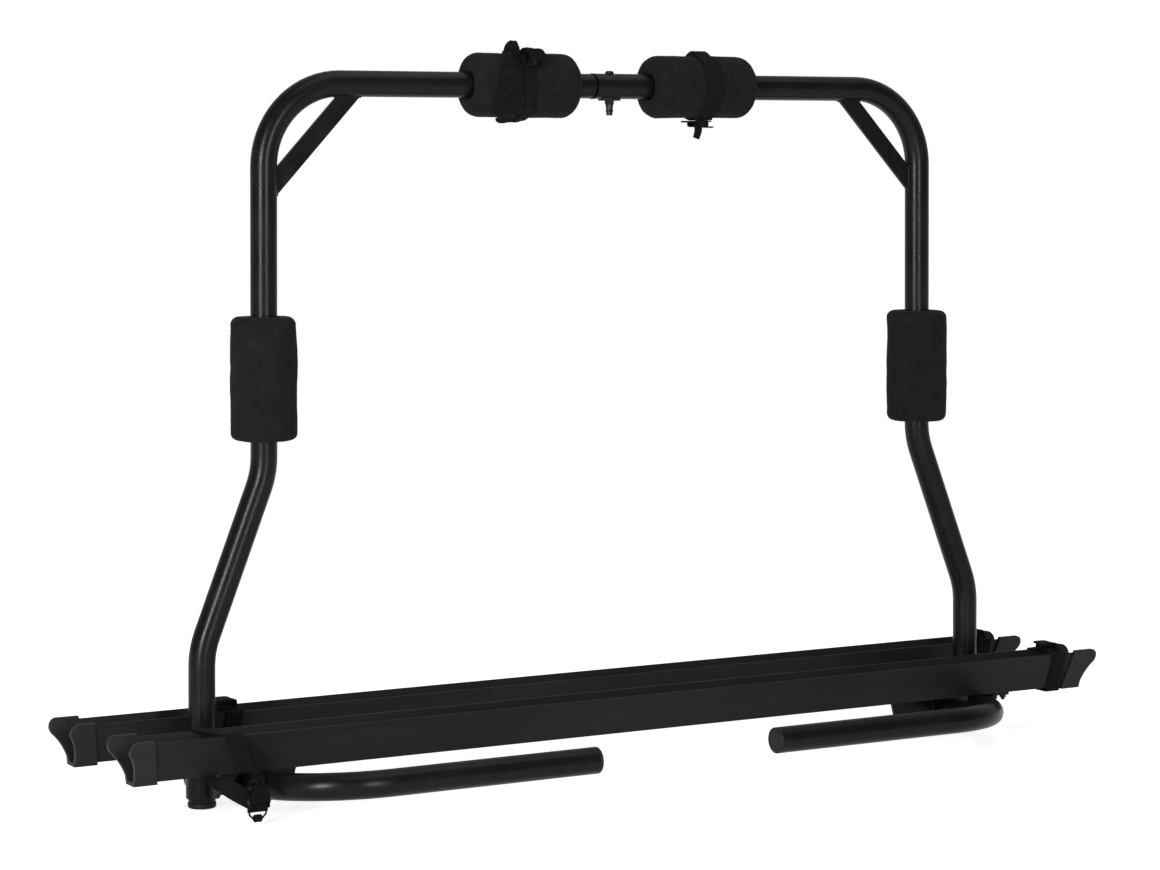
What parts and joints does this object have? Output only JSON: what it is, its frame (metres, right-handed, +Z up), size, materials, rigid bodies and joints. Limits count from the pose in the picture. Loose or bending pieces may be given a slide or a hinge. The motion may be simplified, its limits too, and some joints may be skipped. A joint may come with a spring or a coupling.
{
  "type": "bike carrier",
  "caption": "Bent-tube hoop bike carrier with foam pads, two V-shaped wheel rails, buckled straps, and forward mounting arms with plugged ends.",
  "frame": {"origin": "middle of the footprint, at the bottom of the two feet", "axes": "+X along the wheel rails to the right, +Y from the mounting arms towards the back rail, +Z up the hoop"},
  "size_m": [1.4092, 0.3032, 0.9117],
  "materials": {
    "powder_black": "satin black powder coat on steel",
    "rail_black": "satin black coated aluminium",
    "plastic_black": "moulded black plastic",
    "foam": "matt black closed-cell foam",
    "webbing": "black woven nylon webbing",
    "buckle_steel": "dark coated pressed steel",
    "bolt_black": "blackened steel fasteners",
    "zinc_steel": "bright zinc plated steel"
  },
  "bodies": {
    "carrier": {"left_hoop_tube": "powder_black", "left_brace": "powder_black", "left_foot_plug": "plastic_black", "left_arm_tube": "powder_black", "left_arm_plug": "plastic_black", "left_rail_bracket": "powder_black", "left_gusset": "powder_black", "left_top_pad": "foam", "left_upright_pad": "foam", "right_hoop_tube": "powder_black", "right_brace": "powder_black", "right_foot_plug": "plastic_black", "right_arm_tube": "powder_black", "right_arm_plug": "plastic_black", "right_rail_bracket": "powder_black", "right_gusset": "powder_black", "right_top_pad": "foam", "right_upright_pad": "foam", "top_spigot": "powder_black", "centre_bolt": "zinc_steel", "bolt_saddle": "plastic_black", "front_rail": "rail_black", "front_left_cap": "plastic_black", "front_left_bolts": "bolt_black", "front_right_cap": "plastic_black", "front_right_bolts": "bolt_black", "back_rail": "rail_black", "back_left_cap": "plastic_black", "back_left_bolts": "bolt_black", "back_right_cap": "plastic_black", "back_right_bolts": "bolt_black", "left_pad_strap": "webbing", "right_pad_strap": "webbing", "front_left_strap": "webbing", "front_right_strap": "webbing", "back_left_strap": "webbing", "back_right_strap": "webbing", "left_pad_buckle": "buckle_steel", "left_pad_buckle_pin": "zinc_steel", "right_pad_buckle": "buckle_steel", "right_pad_buckle_pin": "zinc_steel", "front_left_buckle": "buckle_steel", "front_left_buckle_pin": "zinc_steel", "front_right_buckle": "buckle_steel", "front_right_buckle_pin": "zinc_steel", "back_left_buckle": "buckle_steel", "back_left_buckle_pin": "zinc_steel", "back_right_buckle": "buckle_steel", "back_right_buckle_pin": "zinc_steel"},
    "knob": {"centre_knob": "zinc_steel"},
    "left_pad_cam": {"left_pad_lever": "buckle_steel"},
    "right_pad_cam": {"right_pad_lever": "buckle_steel"},
    "front_left_cam": {"front_left_lever": "buckle_steel"},
    "front_right_cam": {"front_right_lever": "buckle_steel"},
    "back_left_cam": {"back_left_lever": "buckle_steel"},
    "back_right_cam": {"back_right_lever": "buckle_steel"}
  },
  "joints": [
    {"name": "knob_turn", "type": "hinge", "parent": "carrier", "child": "knob", "pos_m": [0.0065, 0.05441, 0.83], "axis": [0, 0, 1], "continuous": true},
    {"name": "left_pad_lever_open", "type": "hinge", "parent": "carrier", "child": "left_pad_cam", "pos_m": [-0.1245, 0.02226, 0.89071], "axis": [0, -0.7431, -0.6691], "range_deg": [0, 110]},
    {"name": "right_pad_lever_open", "type": "hinge", "parent": "carrier", "child": "right_pad_cam", "pos_m": [0.1375, 0.05441, 0.80695], "axis": [0, 1, 0], "range_deg": [0, 110]},
    {"name": "front_left_lever_open", "type": "hinge", "parent": "carrier", "child": "front_left_cam", "pos_m": [-0.535, -0.08159, 0.03], "axis": [1, 0, 0], "range_deg": [0, 110]},
    {"name": "front_right_lever_open", "type": "hinge", "parent": "carrier", "child": "front_right_cam", "pos_m": [0.6425, -0.02059, 0.1085], "axis": [1, 0, 0], "range_deg": [0, 110]},
    {"name": "back_left_lever_open", "type": "hinge", "parent": "carrier", "child": "back_left_cam", "pos_m": [-0.4905, 0.12141, 0.1085], "axis": [1, 0, 0], "range_deg": [0, 110]},
    {"name": "back_right_lever_open", "type": "hinge", "parent": "carrier", "child": "back_right_cam", "pos_m": [0.6255, 0.12141, 0.1085], "axis": [1, 0, 0], "range_deg": [0, 110]}
  ]
}
